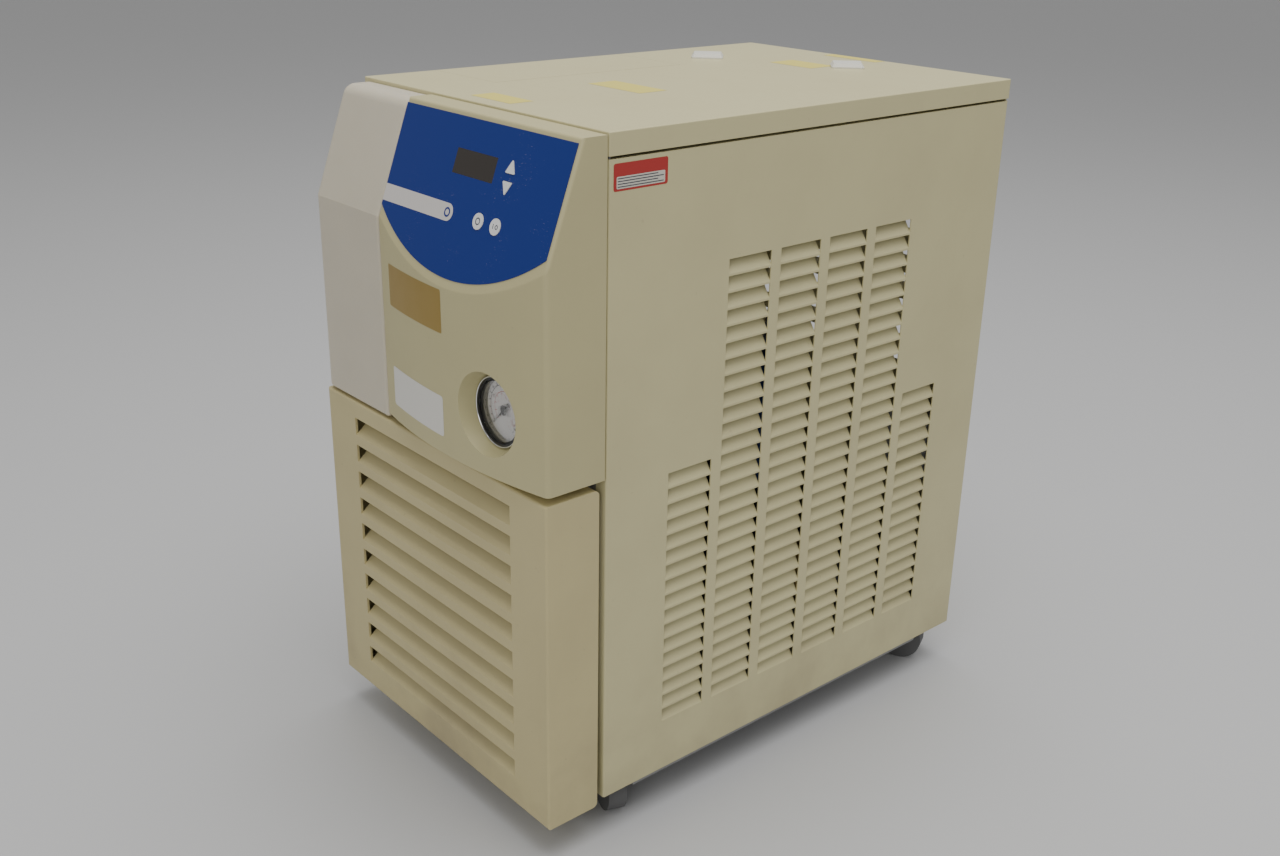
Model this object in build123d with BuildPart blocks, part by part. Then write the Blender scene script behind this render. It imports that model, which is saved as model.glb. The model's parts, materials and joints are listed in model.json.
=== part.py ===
"""Recirculating chiller, floor model, about 365 x 606 x 660 mm.

A louvred sheet-metal cabinet on four swivel casters. A translucent reservoir tank and a
moulded control housing hang on its front wall, and a pull-off louvred grille covers the
condenser below them. Units are millimetres, X right, Y back, Z up. The origin is on the
floor, under the middle of the bounding box.
"""

from build123d import *
from math import atan, cos, degrees, radians, sin, tan
import os

os.makedirs("parts", exist_ok=True)

# Cabinet
width = 365.0
height = 660.0
cover_depth = 518.0
cover_drop = 18.8
sheet = 1.2
bend_radius = 2.0
skin_inset = 0.7
cover_gap = 2.5
panel_edge = 0.5
panel_bottom = 44.0
return_width = 14.0
seam = 0.3

# Control housing and its slanted face
housing_left = -64.0
housing_reach = 61.1
housing_bow = 13.8
housing_bottom = 369.0
housing_drop = 2.0
housing_back_gap = 1.2
housing_wall = 3.0
slant_angle = 20.2
slant_top_reach = 24.6
housing_edge = 3.0
housing_corner = 5.5
boss_radius = 5.0

# Rear ports
port_reach = 12.5
port_bore_radius = 9.2
port_bore_length = 20.0
port_radius = 15.0
port_height = 566.0
supply_x = -20.0
port_spacing = 95.0

# Row frame: the origin is under the middle of the bounding box
half_width = width / 2
front = housing_reach + housing_bow - (housing_reach + housing_bow + cover_depth + port_reach) / 2
back = front + cover_depth
skin = half_width - skin_inset
panel_top = height - cover_drop - cover_gap
wall_front = front + panel_edge + sheet
wall_back = back - panel_edge - sheet

# Lanced louvres of the side panels
louvre_long_columns = 4
louvre_rows = 29
louvre_short_rows = 17
louvre_pitch = 15.25
louvre_height = 13.25
louvre_width = 52.0
louvre_column_pitch = 64.2
louvre_first_column = 71.2
louvre_base = 98.0
louvre_depth = 7.2
louvre_rise = 11.1
crushed_row = 11
bent_depth = 9.4
bent_rise = 8.2

# Base pan
deck_underside = 64.0
deck_thickness = 2.0
pan_lip_bottom = 40.0
pan_lip_front = 38.0
pan_lip_back = 458.0
pan_lip_height = 16.0
deck = deck_underside + deck_thickness

# Front wall openings
passage_margin = 2.0
coil_window_width = 290.0
coil_window_low = 88.0
coil_window_high = 345.0
board_window_left = -40.0
board_window_right = 150.0
board_window_low = 525.0
board_window_high = 622.0
cover_clearance = 0.3
shelf_depth = 55.0

# Rear wall
rear_rows = 6
rear_pitch = 30.0
rear_slot_height = 18.0
rear_slot_width = 120.0
rear_base = 330.0
rear_blade_depth = 11.0
rear_blade_rise = 12.0
inlet_width = 50.0
inlet_height = 30.0
inlet_x = -110.0
inlet_z = 125.0

# Reservoir lid in the top cover
lid_seam_x = -80.5
lid_front = 79.0
lid_back = 312.0
lid_gap = 0.3
tab_width = 24.0
tab_reach = 12.0
tab_places = (122.5, 266.5)
tab_gap = 0.3
tab_joggle = 1.6

# Reservoir tank
tank_gap = 1.0
tank_reach = 62.0
tank_bottom = 364.0
tank_drop = 3.5
tank_wall = 3.5
tank_edge = 12.0
tank_kink_radius = 45.0
tank_top_radius = 13.0
tank_foot_radius = 3.0
tank_rear_left = -166.0
tank_rear_right = -70.0
tank_rear_top = 634.0
tank_rear_bottom = 530.0
tank_rear_depth = 300.0
tank_rear_radius = 8.0
neck_x = -118.0
neck_y = 195.0
neck_radius = 21.0
neck_bore = 17.5
neck_height = 15.7
outlet_y = 222.0
stub_radius = 6.5
stub_bore = 4.5
stub_length = 14.0
cap_radius = 26.0
cap_top = 3.0
cap_clearance = 0.3
cap_ribs = 16

# Slanted face: control overlay, window and keys, placed from the face's top edge
overlay_thickness = 0.5
overlay_left = -62.5
overlay_right = 178.3
overlay_top = 4.6
overlay_shoulder = 96.2
overlay_arc = 41.5
window_left = 29.0
window_width = 57.0
window_top = 31.0
window_height = 21.0
window_thickness = 3.0
window_gap = 0.1
window_ledge = 1.0
key_travel = 0.5
key_proud = 0.5
key_gap = 0.3
key_flange = 1.2
key_flange_thickness = 1.0
key_flange_gap = 0.1
arrow_x = 106.2
arrow_width = 12.8
arrow_height = 11.5
arrow_round = 0.8
up_base = 40.5
down_base = 47.1
round_key_radius = 6.9
round_key_down = 84.2
mode_x = 81.9
power_x = 105.8
board_left = 18.0
board_right = 126.0
board_top = 22.0
board_bottom = 99.0
board_depth = 14.0
board_thickness = 1.6
board_post = 3.0
switch_size = 6.0
led_height = 7.0

# Pressure gauge and its well
gauge_x = 112.3
gauge_z = 423.8
well_floor_reach = 57.0
well_mouth_radius = 38.0
well_floor_radius = 31.6
bezel_radius = 30.4
bezel_height = 4.0
case_radius = 27.6
case_depth = 24.0
case_wall = 1.1
lens_radius = 27.9
lens_depth = 1.2
lens_thickness = 1.5
dial_radius = 26.4
dial_depth = 5.0
dial_thickness = 0.8
dial_ledge = 2.0
pointer_length = 23.0
pointer_tail = 9.0
pointer_zero = 222.6
pointer_shaft = 1.0
pointer_hub = 3.2
pointer_lift = 1.5
shaft_clearance = 0.05
case_stem_radius = 7.0
case_stem_length = 46.0

# Front grille
grille_inset = 2.0
grille_reach = 62.3
grille_bottom = 37.0
grille_top = 361.0
grille_return_gap = 6.0
grille_wall = 2.5
grille_slots = 10
grille_pitch = 28.7
grille_slot_height = 18.5
grille_slot_width = 258.0
grille_base = 67.0
grille_blade_depth = 14.2
grille_blade_rise = 11.9
grille_edge = 2.5
grille_corner = 5.0
grille_post_radius = 5.0
grille_post_inset = 22.5
grille_post_low = 58.0
grille_post_high = 346.0
snap_radius = 3.5
snap_clearance = 0.3
snap_length = 6.0

# Air filter, condenser and fan
filter_depth = 6.0
coil_width = 300.0
coil_depth = 44.0
coil_gap = 2.5
coil_plate = 2.0
coil_tube_radius = 4.8
coil_tube_rows = 8
shroud_depth = 30.0
shroud_wall = 1.5
fan_z = 216.0
fan_radius = 112.0
fan_opening = 118.0
fan_hub_radius = 30.0
fan_hub_length = 26.0
fan_blades = 5
fan_chord = 70.0
fan_camber = 7.0
fan_blade_thickness = 2.5
fan_blade_pitch = 28.0
fan_shaft_radius = 4.0
motor_radius = 38.0
motor_length = 58.0
motor_gap = 4.0
bracket_ring = 3.0
bracket_reach = 140.0
bracket_width = 14.0

# Refrigeration and pump
compressor_x = -70.0
compressor_y = 405.0
compressor_radius = 72.0
compressor_bottom = 87.0
compressor_height = 182.0
compressor_shoulder = 22.0
foot_width = 150.0
foot_depth = 120.0
foot_thickness = 3.0
foot_leg = 20.0
exchanger_x = -112.0
exchanger_y = 222.0
exchanger_width = 76.0
exchanger_depth = 46.0
exchanger_bottom = 100.0
exchanger_height = 200.0
exchanger_plates = 9
exchanger_groove = 3.0
exchanger_outlet = 130.0
line_radius = 4.8
line_bend = 14.0
line_level = 385.0
drier_radius = 14.0
pump_x = 95.0
pump_axis_z = 130.0
pump_motor_front = 350.0
pump_motor_radius = 45.0
pump_motor_length = 110.0
pump_head_radius = 36.0
pump_head_length = 42.0
pump_saddle = 84.0
pump_outlet_inset = 21.0
hose_radius = 9.0
hose_bend = 36.0
hose_overlap = 12.0
supply_low = 230.0
supply_riser_x = 150.0
supply_riser_y = 225.0
supply_riser_low = 290.0
supply_riser_high = 420.0
supply_turn_y = 440.0
liquid_drop_y = 130.0
drier_low = 190.0
drier_high = 300.0
port_flange_radius = 19.0
port_flange = 8.0
port_barb_length = 22.0
port_channel = 4.0

# Electrical pieces
box_left = 15.0
box_right = 160.0
box_depth = 130.0
box_low = 480.0
box_high = 636.0
capacitor_left = 105.0
capacitor_right = 165.0
capacitor_depth = 52.0
capacitor_low = 232.0
capacitor_high = 300.0

inlet_wall = 3.0
inlet_depth = 28.0
inlet_pin_pitch = 11.0

# Self-adhesive pads on the cover
pad_width = 34.0
pad_depth = 30.0
pad_height = 5.0
pad_bevel = 3.5
pad_turn = 45.0
left_pad = (-108.0, 377.0)
right_pad = (30.0, 446.0)

# Casters
caster_x = 131.0
caster_front = 42.0
caster_back = 470.0
caster_plate_size = 58.0
caster_plate_thickness = 2.5
caster_cup_radius = 12.0
caster_cup_height = 5.5
caster_cup_gap = 0.5
kingpin_radius = 5.0
bearing_clearance = 0.05
wheel_radius = 25.0
wheel_width = 18.0
wheel_trail = 18.0
axle_radius = 4.0
fork_wall = 2.5
fork_gap = 1.0
fork_crown = 28.0
fork_eye_radius = 8.0
caster_places = {
    "front_right": (1, caster_front, -20),
    "front_left": (-1, caster_front, 200),
    "rear_right": (1, caster_back, 25),
    "rear_left": (-1, caster_back, 160),
}


def label_and_export(piece, name):
    """Name a finished piece and write it as one STEP file."""
    piece.part.label = name
    export_step(piece.part, "parts/" + name + ".step")


def blade_outline(depth, rise, thickness):
    """Section of one lanced blade: it leaves the skin at the slot's foot and leans inwards."""
    return [(0, 0), (depth, rise), (depth + thickness, rise), (thickness, 0)]


def louvred_strip(strip_width, low, high, slot_width, slot_height, wall, feet, outlines):
    """A strip of skin, outside on the XZ plane's -Y side, with one lanced louvre above each foot.

    The strip runs from low to high, and each foot has the blade outline of the same place.
    """
    side = Plane(origin=(-slot_width / 2, 0, 0), x_dir=(0, 1, 0), z_dir=(1, 0, 0))
    with BuildPart() as strip:
        with BuildSketch(Plane.XZ):
            with Locations((0, (low + high) / 2)):
                Rectangle(strip_width, high - low)
            with Locations(*[(0, foot + slot_height / 2) for foot in feet]):
                Rectangle(slot_width, slot_height, mode=Mode.SUBTRACT)
        extrude(amount=-wall)
        with BuildSketch(side):
            for foot, outline in zip(feet, outlines):
                with Locations((0, foot)):
                    Polygon(*outline, align=None)
        extrude(amount=slot_width)
    return strip.part


# Cabinet shell

with BuildPart() as base_pan:
    deck_y = (wall_front + wall_back) / 2
    deck_depth = wall_back - wall_front - 2 * sheet
    deck_width = 2 * (skin - sheet - seam)
    with BuildSketch(Plane.XY.offset(deck_underside)):
        with Locations((0, deck_y)):
            Rectangle(deck_width, deck_depth)
    extrude(amount=deck_thickness)
    # Side lips hang down past the panels, between the casters' corners
    with BuildSketch(Plane.XY.offset(pan_lip_bottom)):
        with Locations((0, front + (pan_lip_front + pan_lip_back) / 2)):
            Rectangle(deck_width, pan_lip_back - pan_lip_front)
            Rectangle(deck_width - 2 * deck_thickness, pan_lip_back - pan_lip_front, mode=Mode.SUBTRACT)
    extrude(amount=deck - pan_lip_bottom)
    # Front and rear lips stand up inside the walls
    with BuildSketch(Plane.XY.offset(deck)):
        with Locations((0, deck_y)):
            Rectangle(deck_width, deck_depth)
            Rectangle(deck_width, deck_depth - 2 * deck_thickness, mode=Mode.SUBTRACT)
    extrude(amount=pan_lip_height)
label_and_export(base_pan, "base_pan")


def louvre_column(rows, crushed=None):
    """One column of louvres as high as the side panel, with one blade pushed in where told."""
    straight = blade_outline(louvre_depth, louvre_rise, sheet)
    pushed = blade_outline(bent_depth, bent_rise, sheet)
    feet = [louvre_base + row * louvre_pitch for row in range(rows)]
    outlines = [pushed if row == crushed else straight for row in range(rows)]
    return louvred_strip(
        louvre_column_pitch, panel_bottom, panel_top, louvre_width, louvre_height, sheet, feet, outlines
    )


def side_panel(side, columns):
    """Side panel: a skin with front, rear and top returns, and louvre columns in it.

    The side is 1 for the right panel and -1 for the left one.
    """
    first = front + louvre_first_column + louvre_width / 2
    window_front = first - louvre_column_pitch / 2
    window_back = window_front + len(columns) * louvre_column_pitch
    section = [
        (side * (skin - return_width), front + panel_edge),
        (side * skin, front + panel_edge),
        (side * skin, back - panel_edge),
        (side * (skin - return_width), back - panel_edge),
        (side * (skin - return_width), wall_back),
        (side * (skin - sheet), wall_back),
        (side * (skin - sheet), wall_front),
        (side * (skin - return_width), wall_front),
    ]
    placed = []
    for number, column in enumerate(columns):
        place = Location((side * skin, first + number * louvre_column_pitch, 0), (0, 0, side * 90))
        placed.append(column.moved(place))
    with BuildPart() as panel:
        with BuildSketch(Plane.XY.offset(panel_bottom)):
            with BuildLine():
                Polyline(*section, close=True)
            make_face()
            with Locations((side * (skin - sheet / 2), (window_front + window_back) / 2)):
                Rectangle(sheet, window_back - window_front, mode=Mode.SUBTRACT)
        extrude(amount=panel_top - panel_bottom)
        corners = panel.edges().filter_by(Axis.Z).filter_by(lambda e: abs(e.center().X) > skin - sheet / 2)
        fillet([e for e in corners if not window_front <= e.center().Y <= window_back], radius=bend_radius)
        with BuildSketch(Plane.XY.offset(panel_top - sheet)):
            with Locations((side * (skin - (return_width + sheet) / 2), (wall_front + wall_back) / 2)):
                Rectangle(return_width - sheet, wall_back - wall_front - 2 * (sheet + seam))
        extrude(amount=sheet)
        add(placed)
    return panel


long_column = louvre_column(louvre_rows)
short_column = louvre_column(louvre_short_rows)
crushed_column = louvre_column(louvre_short_rows, crushed=crushed_row)
long_columns = [long_column] * louvre_long_columns

right_side_panel = side_panel(1, [short_column] + long_columns + [crushed_column])
label_and_export(right_side_panel, "right_side_panel")
left_side_panel = side_panel(-1, [short_column] + long_columns + [short_column])
label_and_export(left_side_panel, "left_side_panel")


# Front and rear walls

wall_edge = skin - sheet - seam
wall_top = height - sheet - cover_clearance
tank_right = housing_left - tank_gap
housing_top = height - housing_drop
slope = radians(slant_angle)
slant = Plane(
    origin=(0, front - slant_top_reach, housing_top), x_dir=(1, 0, 0), z_dir=(0, -cos(slope), sin(slope))
)
snap_places = [(side * (wall_edge - grille_post_inset), z) for side in (-1, 1) for z in (grille_post_low, grille_post_high)]
shelf_plane = Plane.XY.offset(tank_bottom - sheet)

with BuildPart() as front_wall:
    with BuildSketch(Plane.XZ.offset(-wall_front)):
        with Locations((0, (panel_bottom + wall_top) / 2)):
            Rectangle(2 * wall_edge, wall_top - panel_bottom)
        with Locations((0, (coil_window_low + coil_window_high) / 2)):
            Rectangle(coil_window_width, coil_window_high - coil_window_low, mode=Mode.SUBTRACT)
        with Locations(((board_window_left + board_window_right) / 2, (board_window_low + board_window_high) / 2)):
            Rectangle(
                board_window_right - board_window_left, board_window_high - board_window_low, mode=Mode.SUBTRACT
            )
        with Locations(((tank_rear_left + tank_rear_right) / 2, (tank_rear_bottom + tank_rear_top) / 2)):
            Rectangle(
                tank_rear_right - tank_rear_left + 2 * passage_margin,
                tank_rear_top - tank_rear_bottom + 2 * passage_margin,
                mode=Mode.SUBTRACT,
            )
        with Locations((gauge_x, gauge_z)):
            Circle(case_radius, mode=Mode.SUBTRACT)
        with Locations(*snap_places):
            Circle(snap_radius + snap_clearance, mode=Mode.SUBTRACT)
    extrude(amount=-sheet)
    # The tank's foot stands on a shelf bent out of the wall
    with BuildSketch(shelf_plane):
        with Locations(((tank_rear_left + tank_right) / 2, wall_front + sheet / 2 - shelf_depth / 2)):
            Rectangle(tank_right - tank_rear_left - 2 * passage_margin, shelf_depth + sheet)
    extrude(amount=sheet)
label_and_export(front_wall, "front_wall")

port_places = [(supply_x, port_height), (supply_x + port_spacing, port_height)]
rear_feet = [rear_base + row * rear_pitch for row in range(rear_rows)]
rear_outline = blade_outline(rear_blade_depth, rear_blade_rise, sheet)
rear_strip = louvred_strip(
    wall_edge,
    panel_bottom,
    wall_top,
    rear_slot_width,
    rear_slot_height,
    sheet,
    rear_feet,
    [rear_outline] * rear_rows,
)
rear_halves = [rear_strip.moved(Location((side * wall_edge / 2, wall_back, 0), (0, 0, 180))) for side in (-1, 1)]
with BuildPart() as rear_panel:
    add(rear_halves)
    with BuildSketch(Plane.XZ.offset(-wall_back)):
        with Locations(*port_places):
            Circle(port_radius + seam)
        with Locations((inlet_x, inlet_z)):
            Rectangle(inlet_width, inlet_height)
    extrude(amount=sheet, mode=Mode.SUBTRACT)
label_and_export(rear_panel, "rear_panel")

# Top cover and the reservoir lid set into its left edge

lid_middle = front + (lid_front + lid_back) / 2
lid_length = lid_back - lid_front
with BuildPart() as top_cover:
    with BuildSketch(Plane.XY.offset(height - cover_drop)):
        with Locations((0, (front + back) / 2)):
            Rectangle(width, cover_depth)
    extrude(amount=cover_drop)
    fillet(top_cover.edges().filter_by(Axis.Z), radius=bend_radius)
    fillet(top_cover.faces().sort_by(Axis.Z)[-1].edges(), radius=bend_radius / 2)
    with BuildSketch(Plane.XY.offset(height - cover_drop)):
        with Locations((0, (front + back) / 2)):
            Rectangle(width - 2 * sheet, cover_depth - 2 * sheet)
    extrude(amount=cover_drop - sheet, mode=Mode.SUBTRACT)
    with BuildSketch(Plane.XY.offset(height - cover_drop)):
        with Locations(((lid_seam_x + lid_gap - width) / 2, lid_middle)):
            Rectangle(lid_seam_x + lid_gap + width, lid_length)
    extrude(amount=cover_drop, mode=Mode.SUBTRACT)
label_and_export(top_cover, "top_cover")

lid_plate_right = lid_seam_x - lid_gap
tab_top = height - sheet - tab_gap
with BuildPart() as reservoir_lid:
    with BuildSketch(Plane.XZ.offset(-(lid_middle - lid_length / 2 + lid_gap))):
        with BuildLine():
            Polyline(
                (-half_width, height - cover_drop),
                (-half_width, height),
                (lid_plate_right, height),
                (lid_plate_right, height - sheet),
                (sheet - half_width, height - sheet),
                (sheet - half_width, height - cover_drop),
                close=True,
            )
        make_face()
    extrude(amount=-(lid_length - 2 * lid_gap))
    corner = reservoir_lid.edges().filter_by(Axis.Y).group_by(Axis.X)[0].sort_by(Axis.Z)[-1]
    fillet(corner, radius=bend_radius / 2)
    # Tabs joggle down and tuck under the cover, where they are the lid's hinge
    for place in tab_places:
        with BuildSketch(Plane.XZ.offset(-(front + place - tab_width / 2))):
            with BuildLine():
                Polyline(
                    (lid_plate_right - tab_joggle, height - sheet / 2),
                    (lid_plate_right, height - sheet / 2),
                    (lid_plate_right, tab_top),
                    (lid_seam_x + tab_reach, tab_top),
                    (lid_seam_x + tab_reach, tab_top - sheet),
                    (lid_plate_right - tab_joggle, tab_top - sheet),
                    close=True,
                )
            make_face()
        extrude(amount=-tab_width)
label_and_export(reservoir_lid, "reservoir_lid")

# Reservoir tank: a front block flush with the control housing and a rear block in the cabinet

tank_back = front - housing_back_gap
tank_front = front - tank_reach
tank_top = height - tank_drop
tank_rear_end = front + tank_rear_depth


def tank_front_block(inset):
    """Front block of the tank, or its hollow when the inset is the wall."""
    slant_y = front - slant_top_reach + inset / cos(slope)
    kink_z = housing_top - (slant_y - tank_front - inset) / tan(slope)
    top_z = tank_top - inset
    with BuildPart() as block:
        with BuildSketch(Plane(origin=(inset - skin, 0, 0), x_dir=(0, 1, 0), z_dir=(1, 0, 0))) as profile:
            with BuildLine():
                Polyline(
                    (tank_back - inset, tank_bottom + inset),
                    (tank_front + inset, tank_bottom + inset),
                    (tank_front + inset, kink_z),
                    (slant_y - (housing_top - top_z) * tan(slope), top_z),
                    (tank_back - inset, top_z),
                    close=True,
                )
            make_face()
            levels = profile.vertices().group_by(Axis.Y)
            fillet(levels[-1].sort_by(Axis.X)[0], radius=tank_top_radius - inset)
            fillet(levels[1], radius=tank_kink_radius - inset)
        extrude(amount=tank_right + skin - 2 * inset)
        for face, radius in ((0, tank_edge), (-1, tank_foot_radius), (None, tank_foot_radius)):
            if radius > inset:
                bottom = block.faces().sort_by(Axis.Z)[0]
                side_face = bottom if face is None else block.faces().sort_by(Axis.X)[face]
                rim = [e for e in side_face.edges() if e.center().Y < tank_back - inset - sheet]
                if face is not None:
                    rim = [e for e in rim if e.center().Z > tank_bottom + inset + sheet]
                fillet(rim, radius=radius - inset)
    return block.part


def tank_rear_block(inset, start):
    """Rear block of the tank behind the front wall, or its hollow when the inset is the wall."""
    length = tank_rear_end - inset - start
    with BuildPart() as block:
        with BuildSketch(Plane.XY.offset(tank_rear_bottom + inset)):
            with Locations(((tank_rear_left + tank_rear_right) / 2, start + length / 2)):
                Rectangle(tank_rear_right - tank_rear_left - 2 * inset, length)
        extrude(amount=tank_rear_top - tank_rear_bottom - 2 * inset)
        fillet([e for e in block.edges() if e.center().Y > start + sheet], radius=tank_rear_radius - inset)
    return block.part


outlet_x = exchanger_x + pump_outlet_inset / 2
return_inlet_z = tank_rear_top - 2 * tank_edge - stub_radius
with BuildPart() as reservoir_tank:
    add([tank_front_block(0), tank_rear_block(0, tank_back - tank_wall)])
    with BuildSketch(Plane.XY.offset(tank_rear_top - tank_wall)):
        with Locations((neck_x, front + neck_y)):
            Circle(neck_radius)
    extrude(amount=neck_height + tank_wall)
    with BuildSketch(Plane.XY.offset(tank_rear_bottom + tank_wall)):
        with Locations((outlet_x, front + outlet_y)):
            Circle(stub_radius)
    extrude(amount=-stub_length - tank_wall)
    with BuildSketch(Plane.XZ.offset(tank_wall - tank_rear_end)):
        with Locations((neck_x, return_inlet_z)):
            Circle(stub_radius)
    extrude(amount=-stub_length - tank_wall)
    add([tank_front_block(tank_wall), tank_rear_block(tank_wall, tank_back - 2 * tank_wall)], mode=Mode.SUBTRACT)
    with BuildSketch(Plane.XY.offset(tank_rear_top - 2 * tank_wall)):
        with Locations((neck_x, front + neck_y)):
            Circle(neck_bore)
    extrude(amount=neck_height + 2 * tank_wall, mode=Mode.SUBTRACT)
    with BuildSketch(Plane.XY.offset(tank_rear_bottom + tank_wall)):
        with Locations((outlet_x, front + outlet_y)):
            Circle(stub_bore)
    extrude(amount=-stub_length - tank_wall, mode=Mode.SUBTRACT)
    with BuildSketch(Plane.XZ.offset(tank_wall - tank_rear_end)):
        with Locations((neck_x, return_inlet_z)):
            Circle(stub_bore)
    extrude(amount=-stub_length - tank_wall, mode=Mode.SUBTRACT)
label_and_export(reservoir_tank, "reservoir_tank")


def upright(x, y):
    """Plane for a piece turned about a vertical axis: its outline is (radius, z)."""
    return Plane(origin=(x, y, 0), x_dir=(1, 0, 0), z_dir=(0, -1, 0))


def lengthwise(x, z):
    """Plane for a piece turned about an axis along Y: its outline is (radius, y)."""
    return Plane(origin=(x, 0, z), x_dir=(1, 0, 0), z_dir=(0, 0, 1))


def turned(outline, place):
    """A turned piece with the given half section."""
    with BuildPart() as piece:
        with BuildSketch(place):
            with BuildLine():
                Polyline(*outline, close=True)
            make_face()
        revolve(axis=Axis(place.origin, place.y_dir))
    return piece.part


neck_top = tank_rear_top + neck_height
cap_bottom = tank_rear_top + tank_wall
cap_ceiling = neck_top + cap_clearance
cap_outline = [
    (0, cap_ceiling),
    (neck_radius + cap_clearance, cap_ceiling),
    (neck_radius + cap_clearance, cap_bottom),
    (cap_radius, cap_bottom),
    (cap_radius, cap_ceiling),
    (cap_radius - cap_top, cap_ceiling + cap_top),
    (0, cap_ceiling + cap_top),
]
with BuildPart() as fill_cap:
    add(turned(cap_outline, upright(neck_x, front + neck_y)))
    with BuildSketch(Plane.XY.offset(cap_bottom)):
        with Locations((neck_x, front + neck_y)):
            with PolarLocations(cap_radius, cap_ribs):
                Rectangle(cap_top, cap_top)
    extrude(amount=cap_ceiling - cap_bottom)
label_and_export(fill_cap, "fill_cap")

# Control housing

housing_right = half_width - panel_edge
housing_middle = (housing_left + housing_right) / 2
housing_half = (housing_right - housing_left) / 2
housing_back = front - housing_back_gap
bow_radius = (housing_half**2 + housing_bow**2) / (2 * housing_bow)
bow_centre = front - housing_reach - housing_bow + bow_radius
well_floor = front - well_floor_reach
well_slope = (well_mouth_radius - well_floor_radius) / (housing_reach + housing_bow - well_floor_reach)
board_places = [(x, -y) for x in (board_left + board_post, board_right - board_post) for y in (board_top + board_post, board_bottom - board_post)]
board_face = board_depth - board_thickness
boss_places = [(x, z) for x in (housing_left + 2 * boss_radius, housing_right - 4 * boss_radius) for z in (housing_bottom + 3 * boss_radius, housing_top - 5 * boss_radius)]


def housing_block(inset, back_y):
    """Body of the housing under its slanted face, or its hollow when the inset is the wall."""
    half = housing_half - inset
    radius = bow_radius - inset
    chord_y = bow_centre - (radius**2 - half**2) ** 0.5
    left, right = housing_middle - half, housing_middle + half
    with BuildPart() as block:
        with BuildSketch(Plane.XY.offset(housing_bottom + inset)):
            with BuildLine():
                Polyline((right, chord_y), (right, back_y), (left, back_y), (left, chord_y))
                ThreePointArc((left, chord_y), (housing_middle, bow_centre - radius), (right, chord_y))
            make_face()
        extrude(amount=housing_top - housing_bottom - 2 * inset)
        with BuildSketch(slant.offset(-inset)):
            Rectangle(2 * height, 2 * height)
        extrude(amount=height, mode=Mode.SUBTRACT)
    return block.part


def well_cone(wall, floor_y, mouth_y):
    """The gauge's well as a solid cone from its floor to its mouth, thickened by the wall."""
    floor_radius = well_floor_radius + wall
    mouth_radius = floor_radius + well_slope * (floor_y - mouth_y)
    outline = [(0, floor_y), (floor_radius, floor_y), (mouth_radius, mouth_y), (0, mouth_y)]
    return turned(outline, lengthwise(gauge_x, gauge_z))


arrows = {
    "key_up": (up_base, up_base - arrow_height),
    "key_down": (down_base, down_base + arrow_height),
}
round_keys = {"key_mode": mode_x, "key_power": power_x}


def key_outline(name, grow):
    """Outline of a key on the slanted face, grown all round."""
    with BuildSketch() as outline:
        if name in arrows:
            base, tip = arrows[name]
            half = arrow_width / 2
            Polygon((arrow_x - half, -base), (arrow_x + half, -base), (arrow_x, -tip), align=None)
            fillet(outline.vertices(), radius=arrow_round)
            if grow:
                offset(amount=grow)
        else:
            with Locations((round_keys[name], -round_key_down)):
                Circle(round_key_radius + grow)
    return outline.sketch


window_place = (window_left + window_width / 2, -(window_top + window_height / 2))

with BuildPart() as stiffeners:
    add(well_cone(housing_wall, well_floor + housing_wall, front - housing_reach - housing_bow))
    with BuildSketch(Plane.XZ.offset(-wall_front)):
        with Locations(*boss_places):
            Circle(boss_radius)
    extrude(amount=housing_reach + housing_bow)
    add(housing_block(housing_wall / 2, wall_front), mode=Mode.INTERSECT)

with BuildPart() as control_housing:
    add(housing_block(0, housing_back))
    uprights = control_housing.edges().filter_by(Axis.Z).filter_by(lambda e: e.center().Y < housing_back - sheet)
    fillet(uprights.sort_by(Axis.X)[-1], radius=housing_corner)
    slant_face = control_housing.faces().sort_by(Axis(slant.origin, slant.z_dir))[-1]
    left_upright = control_housing.edges().filter_by(Axis.Z).sort_by(Axis.Y)[0]
    fillet([*slant_face.edges(), left_upright], radius=housing_edge)
    add(housing_block(housing_wall, housing_back + sheet), mode=Mode.SUBTRACT)
    add(stiffeners.part)
    add(well_cone(0, well_floor, front - housing_reach - 2 * housing_bow), mode=Mode.SUBTRACT)
    with BuildSketch(Plane.XZ.offset(-well_floor - housing_wall)):
        with Locations((gauge_x, gauge_z)):
            Circle(case_radius + cap_clearance)
    extrude(amount=2 * housing_wall, mode=Mode.SUBTRACT)
    with BuildSketch(slant.offset(-board_face)):
        with Locations(*board_places):
            Circle(board_post)
    extrude(amount=board_face - housing_wall / 2)
    # The window sits on a narrow ledge, and the keys pass through holes
    with BuildSketch(slant):
        with Locations(window_place):
            Rectangle(window_width + 2 * window_gap, window_height + 2 * window_gap)
    extrude(amount=-(window_thickness - overlay_thickness), mode=Mode.SUBTRACT)
    with BuildSketch(slant):
        with Locations(window_place):
            Rectangle(window_width - 2 * window_ledge, window_height - 2 * window_ledge)
        for name in [*arrows, *round_keys]:
            add(key_outline(name, key_gap))
    extrude(amount=-2 * housing_wall, mode=Mode.SUBTRACT)
label_and_export(control_housing, "control_housing")

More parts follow.
